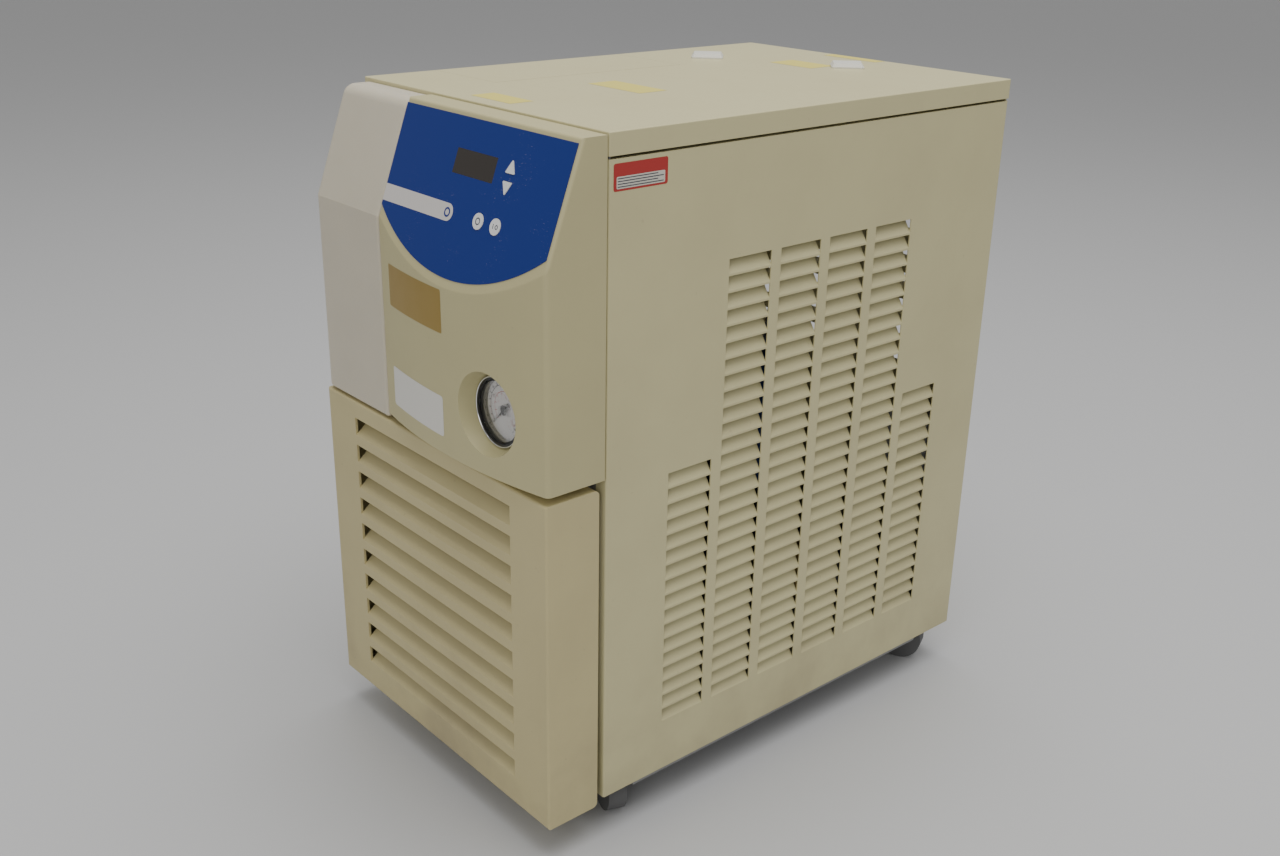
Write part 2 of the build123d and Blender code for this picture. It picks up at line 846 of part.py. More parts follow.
with BuildPart() as control_overlay:
    with BuildSketch(slant):
        with BuildLine():
            Polyline(
                (overlay_left, -overlay_shoulder),
                (overlay_left, -overlay_top),
                (overlay_right, -overlay_top),
                (overlay_right, -overlay_shoulder),
            )
            ThreePointArc(
                (overlay_right, -overlay_shoulder),
                ((overlay_left + overlay_right) / 2, -overlay_shoulder - overlay_arc),
                (overlay_left, -overlay_shoulder),
            )
        make_face()
        with Locations(window_place):
            Rectangle(window_width + 2 * window_gap, window_height + 2 * window_gap, mode=Mode.SUBTRACT)
        for name in [*arrows, *round_keys]:
            add(key_outline(name, key_gap), mode=Mode.SUBTRACT)
    extrude(amount=overlay_thickness)
label_and_export(control_overlay, "control_overlay")

with BuildPart() as display_window:
    with BuildSketch(slant.offset(overlay_thickness)):
        with Locations(window_place):
            Rectangle(window_width, window_height)
    extrude(amount=-window_thickness)
label_and_export(display_window, "display_window")

flange_top = housing_wall + key_flange_gap
flange_bottom = flange_top + key_flange_thickness
for name in [*arrows, *round_keys]:
    with BuildPart() as key:
        with BuildSketch(slant.offset(-flange_bottom)):
            add(key_outline(name, key_gap + key_flange))
        extrude(amount=key_flange_thickness)
        with BuildSketch(slant.offset(-flange_top)):
            add(key_outline(name, 0))
        extrude(amount=flange_top + overlay_thickness + key_proud)
    label_and_export(key, name)

switch_places = [
    (arrow_x, -(up_base - arrow_height / 3)),
    (arrow_x, -(down_base + arrow_height / 3)),
    (mode_x, -round_key_down),
    (power_x, -round_key_down),
]
with BuildPart() as display_board:
    with BuildSketch(slant.offset(-board_depth)):
        with Locations(((board_left + board_right) / 2, -(board_top + board_bottom) / 2)):
            Rectangle(board_right - board_left, board_bottom - board_top)
    extrude(amount=board_thickness)
    with BuildSketch(slant.offset(-board_face)):
        with Locations(window_place):
            Rectangle(window_width - 2 * window_ledge, window_height - 2 * window_ledge)
    extrude(amount=led_height)
    with BuildSketch(slant.offset(-board_face)):
        with Locations(*switch_places):
            Rectangle(switch_size, switch_size)
    extrude(amount=board_face - flange_bottom - key_travel - key_flange_gap)
label_and_export(display_board, "display_board")

# Pressure gauge in the well

gauge_place = lengthwise(gauge_x, gauge_z)
bezel_front = well_floor - bezel_height
lens_seat = bezel_front + lens_depth + lens_thickness
dial_face = well_floor + dial_depth
dial_seat = dial_face + dial_thickness
case_back = well_floor + case_depth
dial_bore = dial_radius + window_gap
case_outline = [
    (bezel_radius, bezel_front),
    (bezel_radius, well_floor),
    (case_radius, well_floor),
    (case_radius, case_back),
    (case_stem_radius, case_back),
    (case_stem_radius, case_back + case_stem_length),
    (0, case_back + case_stem_length),
    (0, case_back - case_wall),
    (pointer_shaft + shaft_clearance, case_back - case_wall),
    (pointer_shaft + shaft_clearance, dial_seat + case_wall),
    (pointer_hub, dial_seat + case_wall),
    (pointer_hub, case_back - 2 * case_wall),
    (dial_bore - dial_ledge, case_back - 2 * case_wall),
    (dial_bore - dial_ledge, dial_seat),
    (dial_bore, dial_seat),
    (dial_bore, lens_seat),
    (lens_radius + window_gap, lens_seat),
    (lens_radius + window_gap, bezel_front),
]
with BuildPart() as gauge_case:
    add(turned(case_outline, gauge_place))
label_and_export(gauge_case, "gauge_case")

with BuildPart() as gauge_dial:
    with BuildSketch(Plane.XZ.offset(-dial_face)):
        with Locations((gauge_x, gauge_z)):
            Circle(dial_radius)
            Circle(pointer_hub / 2, mode=Mode.SUBTRACT)
    extrude(amount=-dial_thickness)
label_and_export(gauge_dial, "gauge_dial")

with BuildPart() as gauge_lens:
    with BuildSketch(Plane.XZ.offset(-lens_seat)):
        with Locations((gauge_x, gauge_z)):
            Circle(lens_radius)
    extrude(amount=lens_thickness)
label_and_export(gauge_lens, "gauge_lens")

with BuildPart() as gauge_pointer:
    blade_y = dial_face - pointer_lift
    with BuildSketch(Plane.XZ.offset(-blade_y)):
        with Locations(Location((gauge_x, gauge_z, 0), (0, 0, pointer_zero))):
            Polygon(
                (pointer_length, 0),
                (0, pointer_shaft),
                (-pointer_tail, pointer_shaft * 2),
                (-pointer_tail, -pointer_shaft * 2),
                (0, -pointer_shaft),
                align=None,
            )
        with Locations((gauge_x, gauge_z)):
            Circle(pointer_hub)
    extrude(amount=dial_thickness)
    with BuildSketch(Plane.XZ.offset(-blade_y)):
        with Locations((gauge_x, gauge_z)):
            Circle(pointer_shaft)
    extrude(amount=blade_y - (case_back - 2 * case_wall))
label_and_export(gauge_pointer, "gauge_pointer")

# Lower front: grille and air filter

grille_half = half_width - grille_inset
grille_front = front - grille_reach
grille_back = front - grille_return_gap
grille_middle = (grille_bottom + grille_top) / 2
grille_feet = [grille_base + row * grille_pitch for row in range(grille_slots)]
grille_blades = [blade_outline(grille_blade_depth, grille_blade_rise, grille_wall)] * grille_slots
grille_face = louvred_strip(
    2 * grille_half,
    grille_bottom,
    grille_top,
    grille_slot_width,
    grille_slot_height,
    grille_wall,
    grille_feet,
    grille_blades,
)
with BuildPart() as front_grille:
    with BuildSketch(Plane.XZ.offset(-grille_back)):
        with Locations((0, grille_middle)):
            Rectangle(2 * grille_half, grille_top - grille_bottom)
    extrude(amount=grille_back - grille_front)
    fillet(front_grille.edges().filter_by(Axis.X).group_by(Axis.Y)[-1], radius=grille_corner)
    with BuildSketch(Plane.XZ.offset(-grille_back)):
        with Locations((0, grille_middle)):
            Rectangle(2 * (grille_half - grille_wall), grille_top - grille_bottom - 2 * grille_wall)
    extrude(amount=grille_back - grille_front, mode=Mode.SUBTRACT)
    with BuildSketch(Plane.XZ.offset(-(wall_front - cover_clearance))):
        with Locations(*snap_places):
            Circle(grille_post_radius)
    extrude(amount=wall_front - cover_clearance - grille_front - grille_wall)
    with BuildSketch(Plane.XZ.offset(-(wall_front - cover_clearance))):
        with Locations(*snap_places):
            Circle(snap_radius)
    extrude(amount=-snap_length)
    add(grille_face.moved(Location((0, grille_front, 0))))
    rim = front_grille.faces().sort_by(Axis.Y)[0].outer_wire().edges()
    fillet(rim, radius=grille_edge)
label_and_export(front_grille, "front_grille")

with BuildPart() as air_filter:
    with BuildSketch(Plane.XZ.offset(-wall_front)):
        with Locations((0, (coil_window_low + coil_window_high) / 2)):
            Rectangle(coil_width, coil_window_high - coil_window_low + 4 * filter_depth)
    extrude(amount=filter_depth)
label_and_export(air_filter, "air_filter")

# Condenser, fan and shroud

coil_front = wall_front + sheet + coil_gap
coil_back = coil_front + coil_depth
coil_low = deck + coil_plate * 4
coil_high = coil_window_high + coil_plate
tube_step = (coil_high - coil_low) / coil_tube_rows
with BuildPart() as condenser_coil:
    with BuildSketch(Plane.XZ.offset(-coil_front)):
        with Locations((0, (coil_low + coil_high) / 2)):
            Rectangle(coil_width, coil_high - coil_low)
        for side in (-1, 1):
            with Locations((side * (coil_width + coil_plate) / 2, (deck + coil_high) / 2)):
                Rectangle(coil_plate, coil_high - deck)
    extrude(amount=-coil_depth)
    with BuildSketch(Plane.YZ.offset(-coil_width / 2 - 3 * coil_plate)):
        with Locations(*[(coil_front + coil_depth / 2, coil_low + (row + 0.5) * tube_step) for row in range(coil_tube_rows)]):
            Rectangle(coil_depth / 2, 2 * line_radius)
    extrude(amount=coil_width + 6 * coil_plate)
label_and_export(condenser_coil, "condenser_coil")

shroud_back = coil_back + shroud_depth
shroud_width = coil_width + 2 * coil_plate
shroud_middle = (coil_low + coil_high) / 2
with BuildPart() as fan_shroud:
    with BuildSketch(Plane.XZ.offset(-coil_back)):
        with Locations((0, shroud_middle)):
            Rectangle(shroud_width, coil_high - coil_low)
    extrude(amount=-shroud_depth)
    with BuildSketch(Plane.XZ.offset(-coil_back)):
        with Locations((0, shroud_middle)):
            Rectangle(shroud_width - 2 * shroud_wall, coil_high - coil_low - 2 * shroud_wall)
    extrude(amount=-(shroud_depth - shroud_wall), mode=Mode.SUBTRACT)
    with BuildSketch(Plane.XZ.offset(-shroud_back)):
        with Locations((0, fan_z)):
            Circle(fan_opening)
    extrude(amount=2 * shroud_wall, mode=Mode.SUBTRACT)
label_and_export(fan_shroud, "fan_shroud")

hub_front = shroud_back - fan_hub_length / 2
hub_back = hub_front + fan_hub_length
motor_front = hub_back + motor_gap
motor_back = motor_front + motor_length
fan_place = lengthwise(0, fan_z)
with BuildPart() as condenser_fan:
    blade_plane = Plane(origin=(0, (hub_front + hub_back) / 2, fan_z), x_dir=(1, 0, 0), z_dir=(0, 0, 1))
    with BuildSketch(blade_plane.offset(fan_hub_radius / 2)):
        with Locations(Rotation(0, 0, fan_blade_pitch)):
            with BuildLine():
                ThreePointArc((-fan_chord / 2, 0), (0, fan_camber), (fan_chord / 2, 0))
                ThreePointArc((fan_chord / 2, 0), (0, fan_camber - fan_blade_thickness), (-fan_chord / 2, 0))
            make_face()
    extrude(amount=fan_radius - fan_hub_radius / 2)
    first_blade = condenser_fan.part
    turn_axis = Axis((0, 0, fan_z), (0, 1, 0))
    add([first_blade.rotate(turn_axis, number * 360 / fan_blades) for number in range(1, fan_blades)])
    hub_outline = [(0, hub_front), (fan_hub_radius, hub_front), (fan_hub_radius, hub_back), (0, hub_back)]
    shaft_outline = [(0, hub_back), (fan_shaft_radius, hub_back), (fan_shaft_radius, motor_back - motor_gap), (0, motor_back - motor_gap)]
    add([turned(hub_outline, fan_place), turned(shaft_outline, fan_place)])
label_and_export(condenser_fan, "condenser_fan")

shaft_bore = fan_shaft_radius + bearing_clearance
motor_outline = [
    (shaft_bore, motor_front),
    (motor_radius - motor_gap, motor_front),
    (motor_radius, motor_front + motor_gap),
    (motor_radius, motor_back),
    (0, motor_back),
    (0, motor_back - motor_gap / 2),
    (shaft_bore, motor_back - motor_gap / 2),
]
with BuildPart() as fan_motor:
    add(turned(motor_outline, fan_place))
label_and_export(fan_motor, "fan_motor")

bracket_front = motor_front + 2 * motor_gap
with BuildPart() as fan_bracket:
    with BuildSketch(Plane.XZ.offset(-bracket_front)):
        with Locations((0, fan_z)):
            Circle(motor_radius + bracket_ring)
            with Locations(Rotation(0, 0, 45), Rotation(0, 0, -45)):
                Rectangle(2 * bracket_reach, bracket_width)
            Circle(motor_radius, mode=Mode.SUBTRACT)
    extrude(amount=-bracket_ring)
    with BuildSketch(Plane.XZ.offset(-shroud_back)):
        with Locations((0, fan_z)):
            with Locations(*[Rotation(0, 0, 45 + 90 * number) for number in range(4)]):
                with Locations((bracket_reach - bracket_ring / 2, 0)):
                    Rectangle(bracket_ring, bracket_width)
    extrude(amount=-(bracket_front + bracket_ring - shroud_back))
label_and_export(fan_bracket, "fan_bracket")

# Compressor and heat exchanger

compressor_place = upright(compressor_x, front + compressor_y)
compressor_top = compressor_bottom + compressor_height
compressor_outline = [
    (0, compressor_bottom),
    (compressor_radius - compressor_shoulder / 2, compressor_bottom),
    (compressor_radius, compressor_bottom + compressor_shoulder / 2),
    (compressor_radius, compressor_top - compressor_shoulder),
    (compressor_radius - compressor_shoulder, compressor_top),
    (0, compressor_top),
]
with BuildPart() as compressor:
    add(turned(compressor_outline, compressor_place))
    with BuildSketch(Plane.XY.offset(compressor_bottom - foot_thickness)):
        with Locations((compressor_x, front + compressor_y)):
            Rectangle(foot_width, foot_depth)
    extrude(amount=foot_thickness)
    with BuildSketch(Plane.XY.offset(deck)):
        with Locations((compressor_x, front + compressor_y)):
            with GridLocations(foot_width - foot_leg, foot_depth - foot_leg, 2, 2):
                Rectangle(foot_leg, foot_leg)
    extrude(amount=compressor_bottom - foot_thickness - deck)
label_and_export(compressor, "compressor")

exchanger_top = exchanger_bottom + exchanger_height
groove_pitch = exchanger_depth / exchanger_plates
exchanger_side = exchanger_x + exchanger_width / 2
with BuildPart() as heat_exchanger:
    with BuildSketch(Plane.XY.offset(exchanger_bottom)):
        with Locations((exchanger_x, front + exchanger_y)):
            Rectangle(exchanger_width, exchanger_depth)
            with GridLocations(exchanger_width, groove_pitch, 2, exchanger_plates - 1):
                Rectangle(exchanger_groove, exchanger_groove / 2, mode=Mode.SUBTRACT)
    extrude(amount=exchanger_height)
    with BuildSketch(Plane.XY.offset(exchanger_top)):
        with Locations((outlet_x, front + outlet_y)):
            Circle(stub_radius)
    extrude(amount=stub_length)
    with BuildSketch(Plane.YZ.offset(exchanger_side - exchanger_groove)):
        with Locations((front + exchanger_y, exchanger_outlet)):
            Circle(stub_radius)
    extrude(amount=stub_length + exchanger_groove)
    with BuildSketch(Plane.XY.offset(deck)):
        with Locations((exchanger_x, front + exchanger_y)):
            Rectangle(exchanger_width, exchanger_depth / 2)
            Rectangle(exchanger_width - 2 * foot_thickness, exchanger_depth / 2, mode=Mode.SUBTRACT)
    extrude(amount=exchanger_bottom - deck)
label_and_export(heat_exchanger, "heat_exchanger")

# Circulating pump

pump_head_front = front + pump_motor_front - pump_head_length
pump_place = lengthwise(pump_x, pump_axis_z)
with BuildPart() as pump_motor:
    motor_start = front + pump_motor_front
    motor_end = motor_start + pump_motor_length
    pump_outline = [
        (0, motor_start),
        (pump_motor_radius, motor_start),
        (pump_motor_radius, motor_end - motor_gap * 2),
        (pump_motor_radius - motor_gap * 2, motor_end),
        (0, motor_end),
    ]
    add(turned(pump_outline, pump_place))
label_and_export(pump_motor, "pump_motor")

outlet_y_place = pump_head_front + pump_outlet_inset
with BuildPart() as pump_head:
    head_outline = [
        (0, pump_head_front - stub_length),
        (stub_radius, pump_head_front - stub_length),
        (stub_radius, pump_head_front),
        (pump_head_radius, pump_head_front),
        (pump_head_radius, front + pump_motor_front),
        (0, front + pump_motor_front),
    ]
    add(turned(head_outline, pump_place))
    with BuildSketch(Plane.XY.offset(pump_axis_z)):
        with Locations((pump_x, outlet_y_place)):
            Circle(stub_radius)
    extrude(amount=pump_head_radius + stub_length)
label_and_export(pump_head, "pump_head")

with BuildPart() as pump_bracket:
    with BuildSketch(Plane.XZ.offset(-(front + pump_motor_front))):
        with Locations((pump_x, (deck + pump_axis_z) / 2)):
            Rectangle(pump_saddle, pump_axis_z - deck)
        with Locations((pump_x, pump_axis_z)):
            Circle(pump_motor_radius, mode=Mode.SUBTRACT)
        with Locations((pump_x, deck + foot_thickness / 2)):
            Rectangle(pump_saddle + 2 * foot_leg, foot_thickness)
    extrude(amount=-(pump_motor_length - 4 * motor_gap))
label_and_export(pump_bracket, "pump_bracket")

# Rear connectors, hoses and refrigerant lines

port_mouth = back + port_reach
panel_inside = wall_back - sheet
barb_end = panel_inside - port_flange - port_barb_length
for name, (x, z) in zip(("supply_port", "return_port"), port_places):
    port_outline = [
        (port_bore_radius, port_mouth),
        (port_radius, port_mouth),
        (port_radius, panel_inside),
        (port_flange_radius, panel_inside),
        (port_flange_radius, panel_inside - port_flange),
        (stub_radius, panel_inside - port_flange),
        (stub_radius, barb_end),
        (port_channel, barb_end),
        (port_channel, port_mouth - port_bore_length),
        (port_bore_radius, port_mouth - port_bore_length),
    ]
    with BuildPart() as port:
        add(turned(port_outline, lengthwise(x, z)))
    label_and_export(port, name)


def tube(route, radius, bend):
    """A round tube as a solid rod along straight runs joined by tangent arcs."""
    with BuildPart() as piece:
        with BuildLine() as centre_line:
            if len(route) > 2:
                FilletPolyline(*route, radius=bend)
            else:
                Line(*route)
        path = centre_line.wires()[0]
        with BuildSketch(Plane(origin=path @ 0, z_dir=path % 0)):
            Circle(radius)
        sweep(path=path)
    return piece.part, path


def hose(route, name):
    """A hose whose ends slip over the stubs that it joins."""
    rod, path = tube(route, hose_radius, hose_bend)
    with BuildPart() as piece:
        add(rod)
        for end, reach in ((0, hose_overlap), (1, -hose_overlap)):
            with BuildSketch(Plane(origin=path @ end, z_dir=path % end)):
                Circle(stub_radius)
            extrude(amount=reach, mode=Mode.SUBTRACT)
    label_and_export(piece, name)


stub_rest = stub_length - hose_overlap
exchanger_y_place = front + exchanger_y
hose(
    [
        (outlet_x, front + outlet_y, tank_rear_bottom - stub_rest),
        (outlet_x, front + outlet_y, exchanger_top + stub_rest),
    ],
    "tank_hose",
)
hose(
    [
        (exchanger_side + stub_rest, exchanger_y_place, exchanger_outlet),
        (pump_x, exchanger_y_place, pump_axis_z),
        (pump_x, pump_head_front - stub_rest, pump_axis_z),
    ],
    "suction_hose",
)
supply_y = front + pump_motor_front - pump_outlet_inset
hose(
    [
        (pump_x, outlet_y_place, pump_axis_z + pump_head_radius + stub_rest),
        (pump_x, outlet_y_place, supply_low),
        (supply_riser_x, front + supply_riser_y, supply_riser_low),
        (supply_riser_x, front + supply_riser_y, supply_riser_high),
        (supply_x, front + supply_turn_y, port_height),
        (supply_x, barb_end + hose_overlap, port_height),
    ],
    "supply_hose",
)
hose(
    [
        (supply_x + port_spacing, barb_end + hose_overlap, port_height),
        (supply_x + port_spacing, front + supply_turn_y, port_height),
        (neck_x, tank_rear_end + 2 * hose_bend, return_inlet_z),
        (neck_x, tank_rear_end + stub_rest, return_inlet_z),
    ],
    "return_hose",
)

line_y = coil_front + coil_depth / 2
line_x = coil_width / 2 - 4 * line_radius
suction_x = compressor_x - compressor_radius / 2
discharge_x = compressor_x + compressor_radius / 3
compressor_y_place = front + compressor_y
liquid_y = front + liquid_drop_y
line_routes = {
    "discharge_line": [
        (discharge_x, compressor_y_place, compressor_top),
        (discharge_x, compressor_y_place, line_level),
        (line_x, line_y, line_level),
        (line_x, line_y, coil_high),
    ],
    "liquid_line": [
        (-line_x, line_y, coil_high),
        (-line_x, line_y, line_level),
        (-line_x, liquid_y, line_level),
        (-line_x, liquid_y, exchanger_outlet),
        (-line_x, exchanger_y_place - exchanger_depth / 2, exchanger_outlet),
    ],
    "suction_line": [
        (-line_x, exchanger_y_place, exchanger_top),
        (-line_x, exchanger_y_place, line_level),
        (suction_x, compressor_y_place, line_level),
        (suction_x, compressor_y_place, compressor_top),
    ],
}
# The filter drier sits in the liquid line's vertical run
drier_outline = [
    (0, drier_low),
    (line_radius, drier_low),
    (drier_radius, drier_low + drier_radius),
    (drier_radius, drier_high - drier_radius),
    (line_radius, drier_high),
    (0, drier_high),
]
for name, route in line_routes.items():
    with BuildPart() as line:
        add(tube(route, line_radius, line_bend)[0])
        if name == "liquid_line":
            add(turned(drier_outline, upright(-line_x, liquid_y)))
    label_and_export(line, name)

# Electrical pieces

with BuildPart() as electrical_box:
    with BuildSketch(Plane.XZ.offset(-(wall_front + sheet))):
        with Locations(((box_left + box_right) / 2, (box_low + box_high) / 2)):
            Rectangle(box_right - box_left, box_high - box_low)
    extrude(amount=-box_depth)
    with BuildSketch(Plane.XZ.offset(-(wall_front + sheet))):
        with Locations(((box_left + box_right) / 2, (box_low + box_high) / 2)):
            Rectangle(box_right - box_left - 2 * sheet, box_high - box_low - 2 * sheet)
    extrude(amount=-(box_depth - sheet), mode=Mode.SUBTRACT)
label_and_export(electrical_box, "electrical_box")

with BuildPart() as capacitor_box:
    with BuildSketch(Plane.XZ.offset(-panel_inside)):
        with Locations(((capacitor_left + capacitor_right) / 2, (capacitor_low + capacitor_high) / 2)):
            Rectangle(capacitor_right - capacitor_left, capacitor_high - capacitor_low)
    extrude(amount=capacitor_depth)
    fillet(capacitor_box.edges().filter_by(Axis.Y), radius=bend_radius * 2)
label_and_export(capacitor_box, "capacitor_box")

with BuildPart() as power_inlet:
    with BuildSketch(Plane.XZ.offset(-wall_back)):
        with Locations((inlet_x, inlet_z)):
            Rectangle(inlet_width + 3 * inlet_wall, inlet_height + 3 * inlet_wall)
    extrude(amount=-inlet_wall)
    with BuildSketch(Plane.XZ.offset(-wall_back)):
        with Locations((inlet_x, inlet_z)):
            Rectangle(inlet_width - 2 * seam, inlet_height - 2 * seam)
    extrude(amount=inlet_depth)
    with BuildSketch(Plane.XZ.offset(-wall_back - -inlet_wall)):
        with Locations((inlet_x, inlet_z)):
            Rectangle(inlet_width - 4 * inlet_wall, inlet_height - 4 * inlet_wall)
    extrude(amount=inlet_depth - inlet_wall, mode=Mode.SUBTRACT)
    with BuildSketch(Plane.XZ.offset(inlet_depth - inlet_wall - wall_back)):
        with Locations((inlet_x, inlet_z)):
            with GridLocations(inlet_pin_pitch, 1, 3, 1):
                Rectangle(inlet_wall, 2 * inlet_wall)
    extrude(amount=-(inlet_depth - 2 * inlet_wall))
label_and_export(power_inlet, "power_inlet")

# Self-adhesive pads on the cover

for name, (x, y) in (("left_pad", left_pad), ("right_pad", right_pad)):
    with BuildPart() as pad:
        with BuildSketch(Plane.XY.offset(height)):
            with Locations(Location((x, front + y, 0), (0, 0, pad_turn))):
                Rectangle(pad_width, pad_depth)
        extrude(amount=pad_height)
        fillet(pad.edges().filter_by(Axis.Z), radius=pad_bevel)
        chamfer(pad.faces().sort_by(Axis.Z)[-1].edges(), length=pad_bevel, length2=pad_height / 2)
    label_and_export(pad, name)

# Casters, made at the swivel axis with the wheel trailing along +X and then placed

plate_bottom = deck_underside - caster_plate_thickness
cup_bottom = plate_bottom - caster_cup_height
crown_top = cup_bottom - caster_cup_gap
leg_inner = wheel_width / 2 + fork_gap
cup_bore = kingpin_radius + bearing_clearance
cup_outline = [
    (cup_bore, cup_bottom),
    (caster_cup_radius, cup_bottom),
    (caster_cup_radius, plate_bottom),
    (cup_bore, plate_bottom),
]
with BuildPart() as caster_plate:
    with BuildSketch(Plane.XY.offset(plate_bottom)):
        Rectangle(caster_plate_size, caster_plate_size)
    extrude(amount=caster_plate_thickness)
    fillet(caster_plate.edges().filter_by(Axis.Z), radius=kingpin_radius)
    add(turned(cup_outline, upright(0, 0)))

with BuildPart() as caster_fork:
    with BuildSketch(Plane.XZ.offset(leg_inner + fork_wall)):
        with Locations((0, crown_top - fork_wall / 2)):
            Rectangle(fork_crown, fork_wall)
        with Locations((wheel_trail, wheel_radius)):
            Circle(fork_eye_radius)
        make_hull()
    extrude(amount=-2 * (leg_inner + fork_wall))
    with BuildSketch(Plane.XZ.offset(leg_inner)):
        with Locations((fork_crown / 2, crown_top - fork_wall - fork_crown)):
            Rectangle(4 * fork_crown, 2 * fork_crown)
    extrude(amount=-2 * leg_inner, mode=Mode.SUBTRACT)
    with BuildSketch(Plane.XZ.offset(leg_inner)):
        with Locations((wheel_trail, wheel_radius)):
            Circle(axle_radius)
    extrude(amount=-2 * leg_inner)
    with BuildSketch(Plane.XY.offset(crown_top)):
        Circle(kingpin_radius)
    extrude(amount=cup_bottom + caster_cup_height - caster_cup_gap - crown_top)

with BuildPart() as caster_wheel:
    with BuildSketch(Plane.XZ.offset(wheel_width / 2)):
        with Locations((wheel_trail, wheel_radius)):
            Circle(wheel_radius)
            Circle(axle_radius + bearing_clearance, mode=Mode.SUBTRACT)
    extrude(amount=-wheel_width)

for corner_name, (side, depth, turn) in caster_places.items():
    place = Location((side * caster_x, front + depth, 0), (0, 0, turn))
    for kind, piece in (("plate", caster_plate), ("fork", caster_fork), ("wheel", caster_wheel)):
        with BuildPart() as placed_piece:
            add(piece.part.moved(place))
        label_and_export(placed_piece, corner_name + "_" + kind)
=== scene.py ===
# %% [markdown]
# # A recirculating chiller on casters
#
# The CAD model gives every rigid piece its true size: cabinet, louvred side panels, moulded control
# housing, water tank, gauge, grille and casters. This notebook dresses that frame with finishes and with
# the thin things that CAD leaves out, such as printed film, labels, the dial's print and the wear of use.

# %% Setup
import json
from math import cos, pi, radians, sin

import bpy
import numpy as np
from mathutils import Matrix, Vector

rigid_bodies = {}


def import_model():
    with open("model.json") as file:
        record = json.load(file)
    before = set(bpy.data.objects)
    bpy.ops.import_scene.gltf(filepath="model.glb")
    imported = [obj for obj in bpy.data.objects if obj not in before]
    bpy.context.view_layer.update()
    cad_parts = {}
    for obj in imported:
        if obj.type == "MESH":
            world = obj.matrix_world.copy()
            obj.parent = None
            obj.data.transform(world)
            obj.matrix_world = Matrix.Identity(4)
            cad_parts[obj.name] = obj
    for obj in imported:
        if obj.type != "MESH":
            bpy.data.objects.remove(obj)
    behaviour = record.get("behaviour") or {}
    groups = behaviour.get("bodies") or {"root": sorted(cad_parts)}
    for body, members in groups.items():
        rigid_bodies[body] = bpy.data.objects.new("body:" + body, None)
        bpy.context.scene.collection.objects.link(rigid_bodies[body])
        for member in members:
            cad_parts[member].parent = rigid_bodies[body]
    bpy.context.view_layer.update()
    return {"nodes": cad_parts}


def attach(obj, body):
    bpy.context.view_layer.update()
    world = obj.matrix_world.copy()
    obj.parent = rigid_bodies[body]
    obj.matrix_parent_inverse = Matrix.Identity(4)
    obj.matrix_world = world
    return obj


for leftover in list(bpy.data.objects):
    bpy.data.objects.remove(leftover)
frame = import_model()
nodes = frame["nodes"]
MM = 0.001

# %% [markdown]
# ## The camera
#
# The photograph was taken from in front and to the right of the cabinet, a little above its top.
# The place and the focal length were worked out from the cabinet's own edges, so the camera is set with
# those real distances, in metres, and not moved by eye.

# %% Camera
camera_data = bpy.data.cameras.new("camera")
camera_data.sensor_width = 36.0
camera_data.lens = 38.41
camera = bpy.data.objects.new("camera", camera_data)
bpy.context.scene.collection.objects.link(camera)
bpy.context.scene.camera = camera
camera_place = (0.9894, -0.8971, 0.8443)
azimuth = radians(48.825)
elevation = radians(22.17)
roll = radians(1.09)
look = Vector((-sin(azimuth) * cos(elevation), cos(azimuth) * cos(elevation), -sin(elevation)))
turn = look.to_track_quat("-Z", "Y").to_matrix() @ Matrix.Rotation(roll, 3, "Z")
camera.matrix_world = Matrix.Translation(camera_place) @ turn.to_4x4()
print("camera looks along", [round(v, 3) for v in look])

# %% [markdown]
# ## Shader maths
#
# A finish is easier to read as a sum than as a web of nodes. The class `Value` wraps one socket, and
# each operator adds the Math node that does it. `Finish` makes the material, and its `node` method adds
# any other kind of node: the node's own settings come first, and then the values or links of its sockets.

# %% Value
class Value:
    """A number that changes over a surface: one output socket, with arithmetic."""

    def __init__(self, finish, socket):
        self.finish = finish
        self.socket = socket

    def maths(self, operation, *others):
        sockets = dict(enumerate([self, *others]))
        node = self.finish.node("ShaderNodeMath", {"operation": operation}, sockets)
        return Value(self.finish, node.outputs[0])

    def __add__(self, other):
        return self.maths("ADD", other)

    __radd__ = __add__

    def __mul__(self, other):
        return self.maths("MULTIPLY", other)

    __rmul__ = __mul__

    def ramp(self, low, high):
        """0 below low, 1 above high and a straight line between them; low may be above high."""
        settings = {"clamp": True}
        sockets = {"Value": self, "From Min": low, "From Max": high}
        return Value(self.finish, self.finish.node("ShaderNodeMapRange", settings, sockets).outputs[0])


